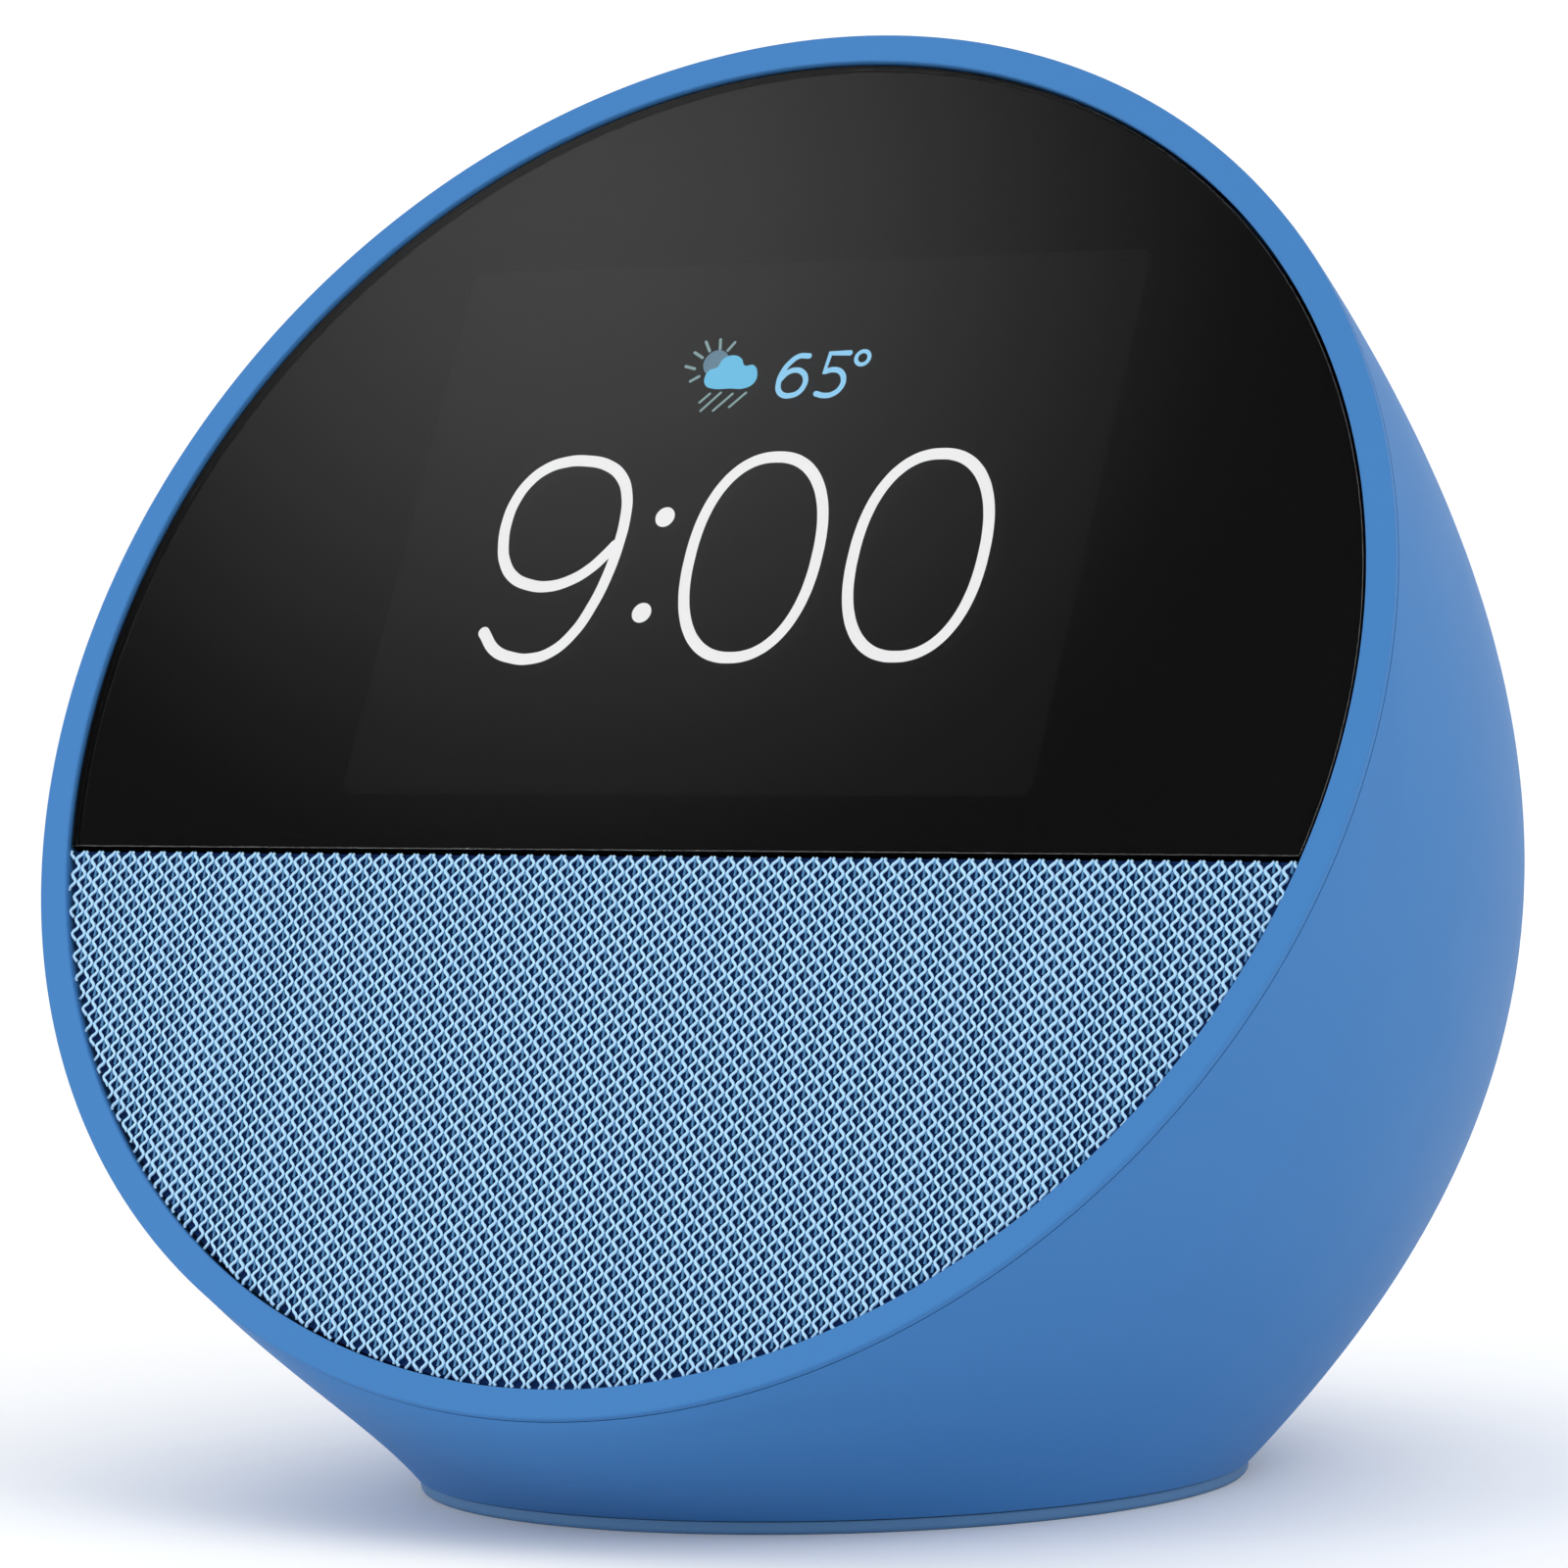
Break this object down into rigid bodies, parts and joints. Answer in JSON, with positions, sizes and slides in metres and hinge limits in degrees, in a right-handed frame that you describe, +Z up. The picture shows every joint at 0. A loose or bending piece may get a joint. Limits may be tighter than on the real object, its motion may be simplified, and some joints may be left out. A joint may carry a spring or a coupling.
{
  "type": "smart display",
  "caption": "Tabletop smart display with a round tilted front, half glass screen and half fabric speaker grille, on a domed plastic body with a flat foot.",
  "frame": {"origin": "centre of the foot's flat underside", "axes": "+Z up, -Y towards the viewer that the tilted front faces, +X to that viewer's right"},
  "size_m": [0.113, 0.1034, 0.1096],
  "materials": {
    "blue_plastic": "fine matte moulded",
    "blue_fabric": "open knitted polyester mesh",
    "cover_glass": "polished, black printed border",
    "black_plastic": "moulded",
    "blue_rubber": "matte",
    "black_rubber": "matte",
    "lcd_cell": "polarising film",
    "white_plastic": "moulded",
    "sheet_steel": "zinc plated",
    "zinc_steel": "zinc plated",
    "aluminium": "extruded",
    "ferrite": "sintered",
    "paper_cone": "pressed pulp, dyed black",
    "cloth_spider": "resin stiffened cotton",
    "copper": "enamelled wire",
    "circuit_board": "solder mask",
    "polyimide": "film"
  },
  "bodies": {
    "housing": {"bezel_ring": "blue_plastic", "rear_housing": "blue_plastic", "grille_fabric": "blue_fabric", "cover_glass": "cover_glass", "display_carrier": "black_plastic", "grille_plate": "black_plastic", "front_chassis": "black_plastic", "base_plate": "black_plastic", "soc_chip": "black_plastic", "volume_down_switch": "black_plastic", "mic_mute_switch": "black_plastic", "volume_up_switch": "black_plastic", "power_socket": "black_plastic", "foot_pad": "blue_rubber", "speaker_gasket": "black_rubber", "speaker_surround": "black_rubber", "thermal_pad": "black_rubber", "power_lead": "black_rubber", "speaker_lead": "black_rubber", "lcd_cell": "lcd_cell", "backlight": "white_plastic", "lcd_frame": "sheet_steel", "soc_shield": "sheet_steel", "speaker_basket": "sheet_steel", "speaker_top_plate": "sheet_steel", "speaker_yoke": "sheet_steel", "ballast": "sheet_steel", "chassis_screw_1": "zinc_steel", "chassis_screw_2": "zinc_steel", "chassis_screw_3": "zinc_steel", "chassis_screw_4": "zinc_steel", "speaker_screw_1": "zinc_steel", "speaker_screw_2": "zinc_steel", "speaker_screw_3": "zinc_steel", "board_screw_1": "zinc_steel", "board_screw_2": "zinc_steel", "board_screw_3": "zinc_steel", "base_screw_1": "zinc_steel", "base_screw_2": "zinc_steel", "base_screw_3": "zinc_steel", "microphone_1": "zinc_steel", "microphone_2": "zinc_steel", "socket_pin": "zinc_steel", "heat_sink": "aluminium", "speaker_magnet": "ferrite", "speaker_spider": "cloth_spider", "main_board": "circuit_board", "button_board": "circuit_board", "power_board": "circuit_board", "display_flex": "polyimide", "wireless_antenna": "polyimide"},
    "volume_down": {"volume_down_button": "blue_plastic", "volume_down_plunger": "white_plastic"},
    "mic_mute": {"mic_mute_button": "blue_plastic", "mic_mute_plunger": "white_plastic"},
    "volume_up": {"volume_up_button": "blue_plastic", "volume_up_plunger": "white_plastic"},
    "cone": {"speaker_cone": "paper_cone", "dust_cap": "paper_cone", "voice_coil": "copper"}
  },
  "joints": [
    {"name": "volume_down_press", "type": "slide", "parent": "housing", "child": "volume_down", "axis": [0, -0.6306, -0.7761], "range_m": [0, 0.0005], "stiffness_N_per_m": 600},
    {"name": "mic_mute_press", "type": "slide", "parent": "housing", "child": "mic_mute", "axis": [0, -0.6306, -0.7761], "range_m": [0, 0.0005], "stiffness_N_per_m": 600},
    {"name": "volume_up_press", "type": "slide", "parent": "housing", "child": "volume_up", "axis": [0, -0.6306, -0.7761], "range_m": [0, 0.0005], "stiffness_N_per_m": 600},
    {"name": "cone_stroke", "type": "slide", "parent": "housing", "child": "cone", "axis": [0, -0.8829, 0.4695], "range_m": [-0.001, 0.001], "stiffness_N_per_m": 1000}
  ]
}
